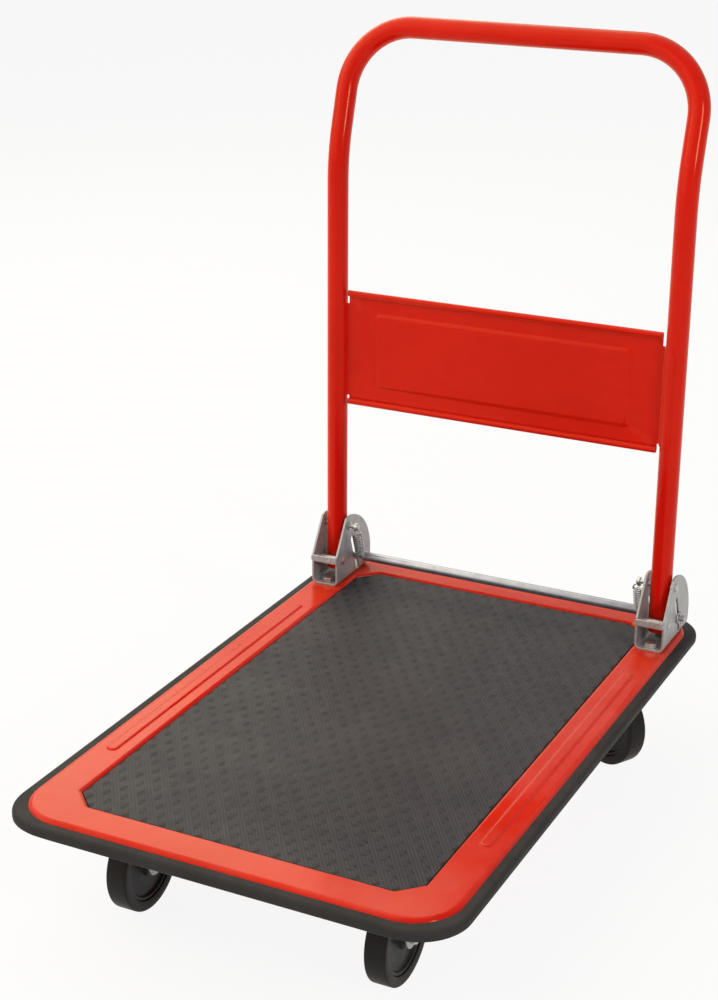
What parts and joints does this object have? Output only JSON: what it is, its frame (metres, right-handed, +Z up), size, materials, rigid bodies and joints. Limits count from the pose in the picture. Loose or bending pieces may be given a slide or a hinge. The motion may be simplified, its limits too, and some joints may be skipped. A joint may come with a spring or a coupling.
{
  "type": "folding platform hand truck",
  "caption": "Flat-bed hand truck with a fold-down tubular push handle, spring-held release rod, non-slip deck mat, edge bumper, fixed front wheels and swivel rear casters.",
  "frame": {"origin": "centre of the deck's plan outline, on the floor under the wheels", "axes": "+X forward, away from the push handle; +Y to the side; +Z up"},
  "size_m": [0.74, 0.474, 0.8006],
  "materials": {
    "red_paint": "gloss red powder coat on pressed sheet and tube",
    "mat_rubber": "dark grey embossed non-slip mat",
    "bumper_rubber": "smooth charcoal edge strip",
    "dark_paint": "black paint",
    "zinc_sheet": "bright zinc-plated pressed sheet",
    "zinc_hardware": "bright zinc-plated fasteners",
    "spring_steel": "zinc-plated spring wire",
    "ball_steel": "polished bearing balls",
    "rod_steel": "bright plated round bar",
    "tyre_rubber": "plain dark tread",
    "hub_plastic": "moulded black hub"
  },
  "bodies": {
    "deck": {"deck_pan": "red_paint", "deck_mat": "mat_rubber", "bumper_strip": "bumper_rubber", "front_cross_member": "dark_paint", "rear_cross_member": "dark_paint", "bracket_bolts": "zinc_hardware", "bracket_nuts": "zinc_hardware", "caster_bolts": "zinc_hardware", "caster_nuts": "zinc_hardware", "hinge_bracket_left": "zinc_sheet", "hinge_strap_left": "zinc_sheet", "stop_pin_left": "zinc_hardware", "pivot_pin_left": "zinc_hardware", "release_spring_left": "spring_steel", "fixed_fork_left": "zinc_sheet", "swivel_plate_left": "zinc_sheet", "king_pin_left": "zinc_hardware", "front_axle_sleeve_left": "zinc_hardware", "front_axle_bolt_left": "zinc_hardware", "front_axle_nut_left": "zinc_hardware", "hinge_bracket_right": "zinc_sheet", "hinge_strap_right": "zinc_sheet", "stop_pin_right": "zinc_hardware", "pivot_pin_right": "zinc_hardware", "release_spring_right": "spring_steel", "fixed_fork_right": "zinc_sheet", "swivel_plate_right": "zinc_sheet", "king_pin_right": "zinc_hardware", "front_axle_sleeve_right": "zinc_hardware", "front_axle_bolt_right": "zinc_hardware", "front_axle_nut_right": "zinc_hardware"},
    "handle": {"handle_tube": "red_paint", "handle_panel": "red_paint"},
    "release_rod": {"release_rod": "rod_steel", "rod_ends": "zinc_hardware", "rod_washers": "zinc_hardware", "rod_cotters": "zinc_hardware"},
    "swivel_left": {"swivel_fork_left": "zinc_sheet", "swivel_balls_left": "ball_steel", "rear_axle_sleeve_left": "zinc_hardware", "rear_axle_bolt_left": "zinc_hardware", "rear_axle_nut_left": "zinc_hardware"},
    "front_wheel_left": {"front_wheel_tyre_left": "tyre_rubber", "front_wheel_hub_left": "hub_plastic"},
    "rear_wheel_left": {"rear_wheel_tyre_left": "tyre_rubber", "rear_wheel_hub_left": "hub_plastic"},
    "swivel_right": {"swivel_fork_right": "zinc_sheet", "swivel_balls_right": "ball_steel", "rear_axle_sleeve_right": "zinc_hardware", "rear_axle_bolt_right": "zinc_hardware", "rear_axle_nut_right": "zinc_hardware"},
    "front_wheel_right": {"front_wheel_tyre_right": "tyre_rubber", "front_wheel_hub_right": "hub_plastic"},
    "rear_wheel_right": {"rear_wheel_tyre_right": "tyre_rubber", "rear_wheel_hub_right": "hub_plastic"}
  },
  "joints": [
    {"name": "handle_fold", "type": "hinge", "parent": "deck", "child": "handle", "pos_m": [-0.286, 0, 0.202], "axis": [0, 1, 0], "range_deg": [0, 90]},
    {"name": "rod_press", "type": "slide", "parent": "deck", "child": "release_rod", "axis": [-0.3271, 0, -0.945], "range_m": [0, 0.0175], "stiffness_N_per_m": 900, "springref_m": -0.012, "deforming": ["release_spring_left", "release_spring_right"]},
    {"name": "front_wheel_left_spin", "type": "hinge", "parent": "deck", "child": "front_wheel_left", "pos_m": [0.261, -0.139, 0.05], "axis": [0, 1, 0], "continuous": true},
    {"name": "front_wheel_right_spin", "type": "hinge", "parent": "deck", "child": "front_wheel_right", "pos_m": [0.261, 0.139, 0.05], "axis": [0, 1, 0], "continuous": true},
    {"name": "swivel_left_turn", "type": "hinge", "parent": "deck", "child": "swivel_left", "pos_m": [-0.249, -0.139, 0.107], "axis": [0, 0, 1], "continuous": true},
    {"name": "rear_wheel_left_spin", "type": "hinge", "parent": "swivel_left", "child": "rear_wheel_left", "pos_m": [-0.28229, -0.14982, 0.05], "axis": [0.309, -0.9511, 0], "continuous": true},
    {"name": "swivel_right_turn", "type": "hinge", "parent": "deck", "child": "swivel_right", "pos_m": [-0.249, 0.139, 0.107], "axis": [0, 0, 1], "continuous": true},
    {"name": "rear_wheel_right_spin", "type": "hinge", "parent": "swivel_right", "child": "rear_wheel_right", "pos_m": [-0.23187, 0.16952, 0.05], "axis": [-0.8721, 0.4894, 0], "continuous": true}
  ]
}
